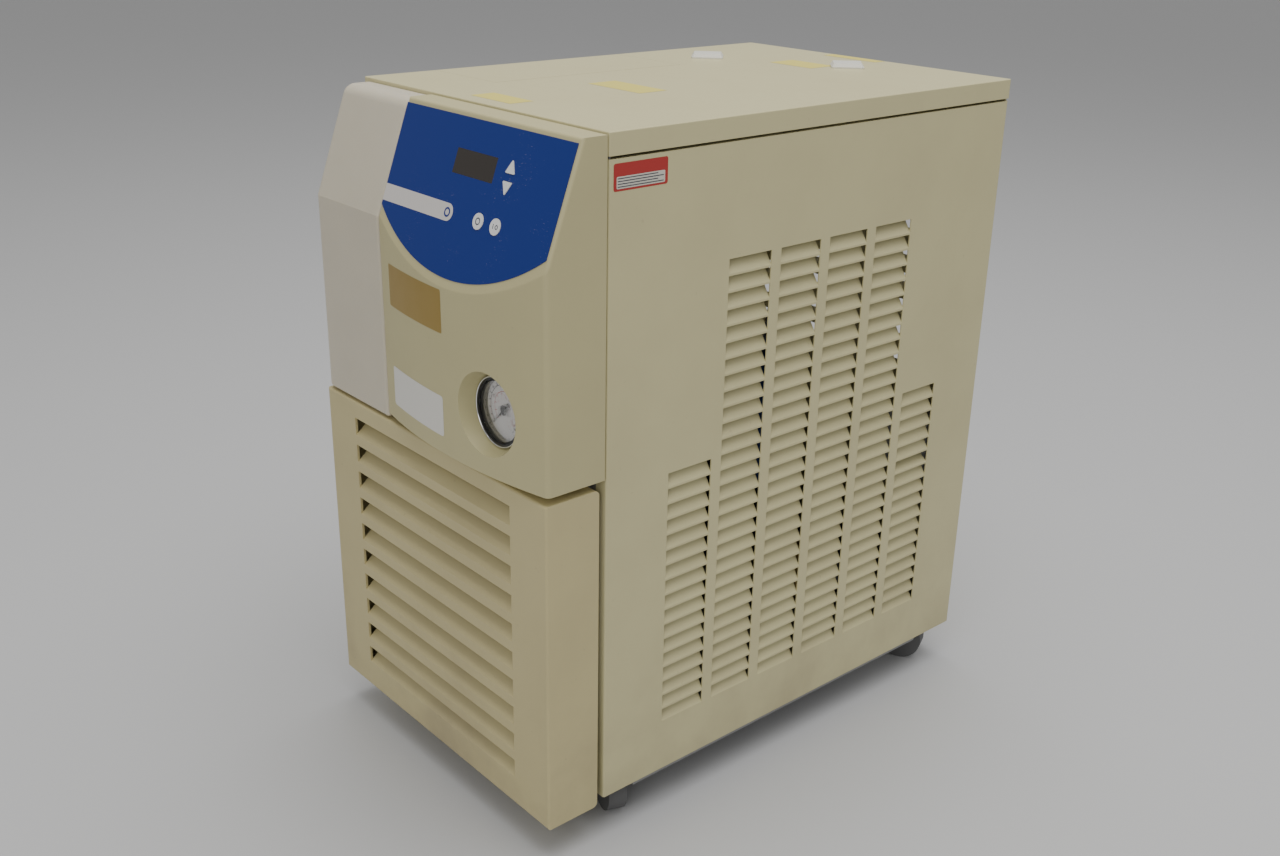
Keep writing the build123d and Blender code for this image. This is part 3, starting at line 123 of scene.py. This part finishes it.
# %% Finish
class Finish:
    """A material with a Principled shader, and the nodes that feed it."""

    def __init__(self, name, colour, roughness, metallic=0.0, **constants):
        self.material = bpy.data.materials.new(name)
        self.material.use_nodes = True
        self.tree = self.material.node_tree
        self.shader = self.tree.nodes["Principled BSDF"]
        self.set("Base Color", (*colour, 1.0))
        self.set("Roughness", roughness)
        self.set("Metallic", metallic)
        for name_of_socket, value in constants.items():
            self.set(name_of_socket.replace("_", " "), value)
        self.place = None

    def set(self, name, value):
        """Set a socket of the shader to a constant, or link a value or colour to it."""
        socket = self.shader.inputs[name]
        if isinstance(value, Value):
            self.tree.links.new(value.socket, socket)
        else:
            socket.default_value = value

    def node(self, kind, settings, sockets):
        node = self.tree.nodes.new(kind)
        for key, value in settings.items():
            setattr(node, key, value)
        for key, value in sockets.items():
            if isinstance(value, Value):
                self.tree.links.new(value.socket, node.inputs[key])
            else:
                node.inputs[key].default_value = value
        return node

    def where(self):
        """Object coordinates, in metres, in the part's own frame."""
        if self.place is None:
            self.place = Value(self, self.node("ShaderNodeTexCoord", {}, {}).outputs["Object"])
        return self.place

    def axis(self, letter):
        """One coordinate, in millimetres."""
        node = self.node("ShaderNodeSeparateXYZ", {}, {0: self.where()})
        return Value(self, node.outputs[letter]) * (1 / MM)

    def noise(self, size, detail=3.0, roughness=0.55, stretch=(1, 1, 1)):
        """Noise whose blobs are about size millimetres across, from 0 to 1."""
        place = self.where()
        if stretch != (1, 1, 1):
            scaled = self.node("ShaderNodeMapping", {}, {"Vector": place, "Scale": stretch})
            place = Value(self, scaled.outputs[0])
        sockets = {"Vector": place, "Scale": 1 / (size * MM), "Detail": detail, "Roughness": roughness}
        return Value(self, self.node("ShaderNodeTexNoise", {}, sockets).outputs[0])

    def mix(self, mask, first, second):
        """A colour that goes from the first to the second as the mask goes from 0 to 1."""
        first = first if isinstance(first, Value) else (*first, 1.0)
        second = second if isinstance(second, Value) else (*second, 1.0)
        node = self.node("ShaderNodeMix", {"data_type": "RGBA"}, {0: mask, 6: first, 7: second})
        return Value(self, node.outputs[2])

    def bump(self, height, depth):
        """Relief of the given depth in millimetres, from a height between 0 and 1."""
        sockets = {"Height": height, "Strength": 1.0, "Distance": depth * MM}
        node = self.node("ShaderNodeBump", {}, sockets)
        self.set("Normal", Value(self, node.outputs[0]))

    def wear(self, *names):
        """Put this finish on CAD nodes."""
        for name in names:
            self.dress(nodes[name])
        return self

    def dress(self, piece):
        piece.data.materials.clear()
        piece.data.materials.append(self.material)
        return piece


# %% [markdown]
# ## Cream cabinet paint
#
# The panels are folded steel with a baked cream paint. Up close such paint has a faint orange peel, and
# years in a workshop leave it slightly uneven, with greyer blotches and specks. The blotches are also
# darker towards the bottom. Both come from noise on the object's own coordinates, so they stay put when
# the camera moves.

# %% Cabinet paint
CREAM = (0.59, 0.54, 0.30)
HOUSING_CREAM = (0.51, 0.46, 0.245)
GRILLE_CREAM = (0.55, 0.475, 0.245)
DARK_CREAM = (0.36, 0.30, 0.18)


def painted(name, colour, roughness, peel, darkening_amount):
    """Paint or moulded plastic with a fine relief, grey blotches and specks, the blotches darker towards
    the bottom.
    """
    finish = Finish(name, colour, roughness)
    blotch = finish.noise(90, detail=5).ramp(0.42, 0.78)
    speck = finish.noise(7, detail=2, roughness=0.7).ramp(0.70, 0.78)
    # the blotches are darker towards the bottom, below 170 mm
    low = finish.axis("Z").ramp(170, 30)
    blotch_darkening = (blotch * 0.16 + low * blotch * 0.5 + speck * 0.25) * darkening_amount
    finish.set("Base Color", finish.mix(blotch_darkening, colour, DARK_CREAM))
    finish.set("Roughness", blotch * 0.10 + roughness)
    finish.bump(finish.noise(peel, detail=2), 0.03)
    return finish


cabinet_paint = painted("cabinet_paint", CREAM, 0.42, 2.2, 1.0)
cabinet_paint.wear("right_side_panel", "left_side_panel", "rear_panel", "top_cover", "reservoir_lid")
housing_plastic = painted("housing_plastic", HOUSING_CREAM, 0.48, 1.2, 1.0)
housing_plastic.wear("control_housing")
grille_plastic = painted("grille_plastic", GRILLE_CREAM, 0.5, 1.2, 1.3)
grille_plastic.wear("front_grille")

# %% [markdown]
# ## Milky tank
#
# The tank is blow-moulded polyethylene a few millimetres thick. Light goes into it and comes out
# again nearby, which subsurface scattering does, so it looks softer and paler than paint.

# %% Tank
MILKY = (0.62, 0.55, 0.42)
MILKY_SHADE = (0.52, 0.46, 0.35)
tank_plastic = Finish(
    "tank_plastic",
    MILKY,
    0.42,
    Subsurface_Weight=0.35,
    Subsurface_Radius=(0.02, 0.017, 0.013),
    Subsurface_Scale=1.0,
)
tank_cloud = tank_plastic.noise(60, detail=3).ramp(0.35, 0.75)
tank_plastic.set("Base Color", tank_plastic.mix(tank_cloud * 0.25, MILKY, MILKY_SHADE))
tank_plastic.bump(tank_plastic.noise(9, detail=2), 0.08)
tank_plastic.wear("reservoir_tank")
Finish("cap_plastic", (0.62, 0.61, 0.58), 0.4).wear("fill_cap")

# %% [markdown]
# ## Plain finishes
#
# Everything else is one even finish per kind of piece: rubber, zinc, copper, brass, enamel. The galvanised
# steel inside is darker than galvanising and the electrical box is black: painted shade for the dark
# inside.

# %% Plain finishes
PLAIN = {
    "zinc": ((0.55, 0.55, 0.53), 0.38, 0.9),
    # galvanised steel darkened to a dull grey as painted shade inside the cabinet
    "galvanised_painted_shade": ((0.26, 0.26, 0.26), 0.6, 0.4),
    "aluminium": ((0.60, 0.61, 0.62), 0.4, 0.9),
    "copper": ((0.62, 0.30, 0.17), 0.35, 0.9),
    "brass": ((0.60, 0.44, 0.18), 0.35, 0.9),
    "stainless": ((0.60, 0.60, 0.59), 0.3, 0.95),
    "black_enamel": ((0.02, 0.02, 0.02), 0.35, 0.0),
    "black_rubber": ((0.025, 0.025, 0.025), 0.75, 0.0),
    "tread": ((0.10, 0.10, 0.10), 0.6, 0.0),
    "filter_foam": ((0.03, 0.03, 0.03), 0.95, 0.0),
    "blue_hose": ((0.02, 0.06, 0.22), 0.4, 0.0),
    "circuit_board": ((0.02, 0.12, 0.04), 0.5, 0.0),
    "grey_moulding": ((0.45, 0.46, 0.46), 0.5, 0.0),
    # black moulding; on the electrical box the black is painted shade inside the cabinet
    "black_moulding_and_painted_shade": ((0.03, 0.03, 0.03), 0.5, 0.0),
    "white_nylon": ((0.70, 0.68, 0.60), 0.45, 0.0),
}
corners = ["front_right", "front_left", "rear_right", "rear_left"]
WORN_BY = {
    "zinc": ["fan_bracket", "pump_bracket"] + [c + p for c in corners for p in ("_plate", "_fork")],
    "galvanised_painted_shade": ["base_pan", "front_wall", "fan_shroud"],
    "aluminium": ["condenser_coil", "condenser_fan"],
    "copper": ["discharge_line", "liquid_line", "suction_line"],
    "brass": ["pump_head", "supply_port", "return_port"],
    "stainless": ["heat_exchanger"],
    "black_enamel": ["compressor", "fan_motor", "pump_motor"],
    "black_rubber": ["tank_hose", "suction_hose", "return_hose"],
    "tread": [c + "_wheel" for c in corners],
    "filter_foam": ["air_filter"],
    "blue_hose": ["supply_hose"],
    "circuit_board": ["display_board"],
    "grey_moulding": ["capacitor_box"],
    # the electrical box is black as painted shade inside; the power inlet is a real black moulding
    "black_moulding_and_painted_shade": ["power_inlet", "electrical_box"],
    "white_nylon": ["left_pad", "right_pad"],
}
plain = {name: Finish(name, *values) for name, values in PLAIN.items()}
for name, worn_by in WORN_BY.items():
    plain[name].wear(*worn_by)
print("plain finishes:", len(plain))

# %% [markdown]
# ## Film, window and keys
#
# The control panel is a printed polycarbonate film on the slanted face. It is satin and evenly dyed, so
# a single blue is enough, with short pale scuffs from use. Those are the peaks of a fine noise, stretched
# in one direction, that a coarse noise lets through in patches. The keys are white mouldings that show
# through holes in the film, and the window is smoked acrylic over an unlit display.

# %% Control film
FILM_BLUE = (0.009, 0.027, 0.19)
SCUFF_PALE = (0.40, 0.42, 0.46)
film = Finish("film", FILM_BLUE, 0.42, Specular_IOR_Level=0.25)
scratches = film.noise(2.6, detail=2, stretch=(1, 1, 5)).ramp(0.69, 0.73)
scuff = scratches * film.noise(40, detail=2).ramp(0.5, 0.62)
film.set("Base Color", film.mix(scuff * 0.6, FILM_BLUE, SCUFF_PALE))
film.bump(film.noise(0.8, detail=1), 0.01)
film.wear("control_overlay")
Finish("white_key", (0.72, 0.72, 0.70), 0.4).wear("key_up", "key_down", "key_mode", "key_power")
Finish("smoked_window", (0.028, 0.022, 0.017), 0.25).wear("display_window")

# %% Gauge finishes
Finish("gauge_enamel", (0.012, 0.012, 0.013), 0.28).wear("gauge_case")
Finish("dial_enamel", (0.66, 0.64, 0.61), 0.5).wear("gauge_dial")
pointer_black = Finish("pointer_black", (0.012, 0.012, 0.012), 0.5).wear("gauge_pointer")
glass = Finish("glass", (1.0, 1.0, 1.0), 0.03, Transmission_Weight=1.0, IOR=1.45, Alpha=0.25)
glass.wear("gauge_lens")

# %% [markdown]
# ## Surfaces from arrays
#
# New pieces are thin printed patches on known surfaces. A patch is a grid of points worked out with numpy
# and handed to the mesh in one go. The slanted face is a plane, so a point on it is its top edge plus
# so many millimetres across and so many down the slope.

# %% Mesh helper
def grid_mesh(name, points, finish, body="cabinet"):
    """A piece from an array of points (rows, columns, 3) in millimetres, facing its right-hand side."""
    rows, columns = points.shape[:2]
    index = np.arange(rows * columns).reshape(rows, columns)
    quads = np.stack([index[:-1, :-1], index[:-1, 1:], index[1:, 1:], index[1:, :-1]], axis=-1)
    mesh = bpy.data.meshes.new(name)
    mesh.from_pydata((points.reshape(-1, 3) * MM).tolist(), [], quads.reshape(-1, 4).tolist())
    mesh.validate()
    piece = bpy.data.objects.new(name, mesh)
    bpy.context.scene.collection.objects.link(piece)
    finish.dress(piece)
    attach(piece, body)
    return piece


# %% Slanted face
FRONT = -227.8
TOP = 660.0
SLANT = radians(20.2)
SLANT_REACH = 24.6
SLANT_DROP = 2.0
FILM = 0.5
slant_origin = np.array([0.0, FRONT - SLANT_REACH, TOP - SLANT_DROP])
slant_down = np.array([0.0, -sin(SLANT), -cos(SLANT)])
slant_out = np.array([0.0, -cos(SLANT), sin(SLANT)])


def on_slant(across, down, height):
    """Points on the slanted face: across in X, down the slope, and height off the bare face."""
    across, down, height = np.broadcast_arrays(across, down, height)
    points = slant_origin + down[..., None] * slant_down + height[..., None] * slant_out
    points[..., 0] += across
    return points


# %% [markdown]
# ## Printed film and labels
#
# Each print is a thin patch a tenth of a millimetre off its surface. Its outline is a rectangle whose
# ends may be round: a point a distance d from a round end of radius r lies r minus the root of
# r squared minus (r - d) squared in from the edge. The housing's front is bowed like a barrel, so a
# patch there follows a circle whose radius comes from the bow's width and depth.

# %% Patches
PRINT = 0.12
STEPS = 49
HOUSING_MIDDLE = 59.0
HOUSING_HALF = 123.0
HOUSING_REACH = 61.1
BOW = 13.8
SKIN = 181.8
bow_radius = (HOUSING_HALF**2 + BOW**2) / (2 * BOW)
bow_centre = FRONT - HOUSING_REACH - BOW + bow_radius


def patch(name, finish, across, up, place, left_round=0.0, right_round=0.0):
    """A printed patch between two values across and two values up, placed by a function of both."""
    wide = across[1] - across[0]
    share = (1 - np.cos(np.linspace(0, pi, STEPS))) / 2
    along = share * wide
    left_dip = left_round - np.sqrt(np.maximum(left_round**2 - np.maximum(left_round - along, 0) ** 2, 0))
    from_right = np.maximum(right_round - (wide - along), 0)
    right_dip = right_round - np.sqrt(np.maximum(right_round**2 - from_right**2, 0))
    dip = np.maximum(left_dip, right_dip)
    low = up[0] + dip
    high = up[1] - dip
    points = place(np.stack([across[0] + along] * 2), np.stack([low, high]))
    return grid_mesh(name, points, finish)


def ring(name, finish, centre, inner, outer, place):
    """A flat printed ring."""
    turn = np.linspace(0, 2 * pi, STEPS)
    reach = np.array([[outer], [inner]])
    points = place(centre[0] + reach * np.cos(turn), centre[1] + reach * np.sin(turn))
    return grid_mesh(name, points, finish)


def film_place(across, up):
    """On the film."""
    return on_slant(across, -up, np.full_like(across, FILM + PRINT))


def band_place(across, up):
    """On the band that is printed on the film."""
    return on_slant(across, -up, np.full_like(across, FILM + 2 * PRINT))


def key_place(across, up):
    """On the keys, which stand as far off the film as the film is thick."""
    return on_slant(across, -up, np.full_like(across, 2 * FILM + PRINT))


def bow_place(across, up):
    """On the housing's bowed front: y is the circle's centre less the root of r squared less x squared."""
    bowed = bow_centre - np.sqrt(bow_radius**2 - (across - HOUSING_MIDDLE) ** 2)
    return np.stack([across, bowed - PRINT, up], axis=-1)


def top_place(across, up):
    """On the top cover, with up measured back from the front."""
    return np.stack([across, up + FRONT, np.full_like(across, TOP + PRINT)], axis=-1)


def side_place(lift):
    """Places on the right side panel: across runs back from the front, up is the height."""
    return lambda across, up: np.stack([np.full_like(across, SKIN + lift), across + FRONT, up], axis=-1)


# %% Prints on the film and the keys
pale_ink = Finish("pale_ink", (0.60, 0.57, 0.54), 0.4)
blue_ink = Finish("blue_ink", FILM_BLUE, 0.42)
dark_ink = Finish("dark_ink", (0.03, 0.035, 0.06), 0.45)
BAND_ACROSS = (-62.4, 45.0)
BAND_UP = (-92.4, -77.3)
BAND_ROUND = 7.5
GLYPH_PLACE = (37.0, -84.9)
MODE_PLACE = (81.9, -84.2)
POWER_PLACE = (107.9, -84.2)
POWER_BAR_ACROSS = (103.0, 103.7)
POWER_BAR_UP = (-86.2, -82.2)
patch("film_band", pale_ink, BAND_ACROSS, BAND_UP, film_place, right_round=BAND_ROUND)
ring("band_glyph", blue_ink, GLYPH_PLACE, 2.6, 4.2, band_place)
ring("mode_mark", dark_ink, MODE_PLACE, 2.2, 3.1, key_place)
ring("power_mark_o", dark_ink, POWER_PLACE, 1.2, 1.9, key_place)
patch("power_mark_i", dark_ink, POWER_BAR_ACROSS, POWER_BAR_UP, key_place)

# %% Plates and labels
gold = Finish("gold_foil", (0.42, 0.29, 0.08), 0.38, 0.75)
gold.bump(gold.noise(1.5, detail=2, stretch=(1, 1, 8)), 0.01)
gold.set("Roughness", gold.noise(30, detail=3) * 0.2 + 0.28)
BADGE_ACROSS = (-45.0, 53.0)
BADGE_UP = (480.0, 518.5)
patch("gold_badge", gold, BADGE_ACROSS, BADGE_UP, bow_place, 1.5, 1.5)
pale_label = Finish("pale_label", (0.68, 0.66, 0.60), 0.4)
LABEL_ACROSS = (-45.0, 51.0)
LABEL_UP = (385.0, 422.5)
patch("maker_label", pale_label, LABEL_ACROSS, LABEL_UP, bow_place, 3.0, 3.0)
yellow_paper = Finish("yellow_paper", (0.68, 0.58, 0.13), 0.6)
STRIPS = [
    ((-29.5, 29.5), (17, 42)),
    ((-27, 47), (147, 180)),
    ((-42, 17), (405, 440)),
    ((-52, 22), (500, 516)),
]
for number, (across, along) in enumerate(STRIPS):
    patch(f"yellow_strip_{number}", yellow_paper, across, along, top_place)
red_ink = Finish("red_ink", (0.42, 0.03, 0.025), 0.45)
tag_paper = Finish("tag_paper", (0.62, 0.60, 0.52), 0.5)
patch("tag_border", red_ink, (5.0, 61.5), (613.0, 635.0), side_place(PRINT), 2.0, 2.0)
patch("tag_field", tag_paper, (8.0, 58.5), (614.8, 624.5), side_place(2 * PRINT), 1.0, 1.0)
TAG_LINES = 4
TAG_LINE_LOW = 616.0
TAG_LINE_PITCH = 2.2
TAG_LINE_HIGH = 0.7
TAG_LINE_STARTS = 9.0
TAG_LINE_ENDS = (57.0, 51.0)
for row in range(TAG_LINES):
    level = TAG_LINE_LOW + TAG_LINE_PITCH * row
    across = (TAG_LINE_STARTS, TAG_LINE_ENDS[row % 2])
    patch(f"tag_line_{row}", dark_ink, across, (level, level + TAG_LINE_HIGH), side_place(3 * PRINT))

# %% [markdown]
# ## The gauge's dial
#
# The dial has a black outer scale and a red inner one, each a thin arc with ticks over three quarters of
# a turn. The chrome ring is a small round section swept round the gauge.

# %% Dial
GAUGE_X = 112.3
GAUGE_Z = 423.8
WELL_FLOOR = FRONT - 57.0
DIAL_FACE = WELL_FLOOR + 5.0
DIAL_ZERO = radians(222.6)
DIAL_SWEEP = radians(270)
ARC_STEPS = 73
dial_black = Finish("dial_black", (0.02, 0.02, 0.02), 0.5)
dial_red = Finish("dial_red", (0.40, 0.03, 0.02), 0.5)


def dial_place(reach, turn):
    """Points on the dial's face from radii and angles."""
    across = GAUGE_X + reach * np.cos(turn)
    up = GAUGE_Z + reach * np.sin(turn)
    return np.stack([across, np.full_like(across, DIAL_FACE - PRINT), up], axis=-1)


def dial_scale(name, finish, inner, outer, ticks, tick_reach, tick_wide):
    """A thin arc round three quarters of the dial, and its ticks, each a piece of its own."""
    turn = np.linspace(DIAL_ZERO, DIAL_ZERO - DIAL_SWEEP, ARC_STEPS)
    grid_mesh(name + "_arc", dial_place(np.array([[inner], [outer]]), turn[None, :]), finish)
    at = np.linspace(DIAL_ZERO, DIAL_ZERO - DIAL_SWEEP, ticks)
    half = tick_wide / 2 / outer
    reach = np.array([[inner], [inner + tick_reach]])
    for number, middle in enumerate(at):
        points = dial_place(reach, np.array([[middle + half, middle - half]]))
        grid_mesh(f"{name}_tick_{number}", points, finish)


dial_scale("black_scale", dial_black, 21.2, 21.9, 17, 3.2, 0.9)
dial_scale("red_scale", dial_red, 15.6, 16.2, 11, -2.2, 0.8)


def numeral(name, words, reach, turn, size, finish):
    """A number printed on the dial, turned into a mesh and laid in place."""
    curve = bpy.data.curves.new(name, "FONT")
    curve.body = words
    curve.size = size * MM
    curve.align_x = "CENTER"
    curve.align_y = "CENTER"
    lettering = bpy.data.objects.new(name + "_curve", curve)
    bpy.context.scene.collection.objects.link(lettering)
    bpy.context.view_layer.update()
    mesh = bpy.data.meshes.new_from_object(lettering)
    bpy.data.objects.remove(lettering)
    middle = dial_place(np.array(reach), np.array(turn)) * MM
    mesh.transform(Matrix.Translation(middle) @ Matrix.Rotation(pi / 2, 4, "X"))
    piece = bpy.data.objects.new(name, mesh)
    bpy.context.scene.collection.objects.link(piece)
    finish.dress(piece)
    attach(piece, "cabinet")


NUMBERED = 4
BLACK_STEP = 40
RED_STEP = 3
for step in range(NUMBERED + 1):
    turn = DIAL_ZERO - DIAL_SWEEP * step / NUMBERED
    numeral(f"black_number_{step}", str(BLACK_STEP * step), 18.6, turn, 4.2, dial_black)
    numeral(f"red_number_{step}", str(RED_STEP * step), 11.2, turn, 3.4, dial_red)

# %% Hub cap and chrome ring
HUB_RADIUS = 4.6
HUB_HOLE = 0.1
HUB_LIFT = 2.4
hub_turn = np.linspace(0, 2 * pi, STEPS)[None, :]
hub_cap = dial_place(np.array([[HUB_RADIUS], [HUB_HOLE]]), hub_turn)
hub_cap[..., 1] -= HUB_LIFT
grid_mesh("pointer_hub_cap", hub_cap, pointer_black, "pointer")

chrome = Finish("chrome", (0.75, 0.75, 0.74), 0.12, 1.0)
RING_RADIUS = 30.5
RING_HALF_WALL = 0.9
RING_HALF_DEPTH = 1.9
RING_LIFT = 2.6
RING_TURNS = 97
RING_SIDES = 17
around = np.linspace(0, 2 * pi, RING_TURNS)[None, :]
section = np.linspace(0, 2 * pi, RING_SIDES)[:, None]
ring_reach = RING_RADIUS + RING_HALF_WALL * np.cos(section)
ring_y = WELL_FLOOR - RING_LIFT + RING_HALF_DEPTH * np.sin(section)
ring_points = np.stack(
    [
        GAUGE_X + ring_reach * np.cos(around),
        np.broadcast_to(ring_y, (RING_SIDES, RING_TURNS)),
        GAUGE_Z + ring_reach * np.sin(around),
    ],
    axis=-1,
)
chrome_ring = grid_mesh("chrome_ring", ring_points, chrome)
chrome_ring.data.polygons.foreach_set("use_smooth", [True] * len(chrome_ring.data.polygons))

# %% [markdown]
# ## The stage
#
# The stage is a pale floor that fills the view, with two soft lamps and an even sky.

# %% Stage and light
def lamp(name, place, aim, size, power):
    """A square soft lamp at a place in metres, aimed at a point."""
    data = bpy.data.lights.new(name, "AREA")
    data.energy = power
    data.size = size
    piece = bpy.data.objects.new(name, data)
    bpy.context.scene.collection.objects.link(piece)
    piece.location = place
    piece.rotation_euler = (Vector(aim) - Vector(place)).to_track_quat("-Z", "Y").to_euler()


world = bpy.data.worlds.new("studio")
bpy.context.scene.world = world
world.use_nodes = True
world.node_tree.nodes["Background"].inputs["Color"].default_value = (1, 1, 1, 1)
world.node_tree.nodes["Background"].inputs["Strength"].default_value = 0.42
lamp("overhead", (0.3, 0.2, 3.2), (0, 0, 0), 3.0, 92)
lamp("front", (1.8, -2.6, 1.8), (0, 0, 0.3), 2.0, 25)

floor_mesh = bpy.data.meshes.new("floor")
FLOOR_HALF = 20.0
floor_corners = [(-1, -1), (1, -1), (1, 1), (-1, 1)]
floor_points = [(x * FLOOR_HALF, y * FLOOR_HALF, 0) for x, y in floor_corners]
floor_mesh.from_pydata(floor_points, [], [(0, 1, 2, 3)])
floor = bpy.data.objects.new("floor", floor_mesh)
bpy.context.scene.collection.objects.link(floor)
Finish("floor_paint", (0.55, 0.55, 0.55), 0.5).dress(floor)
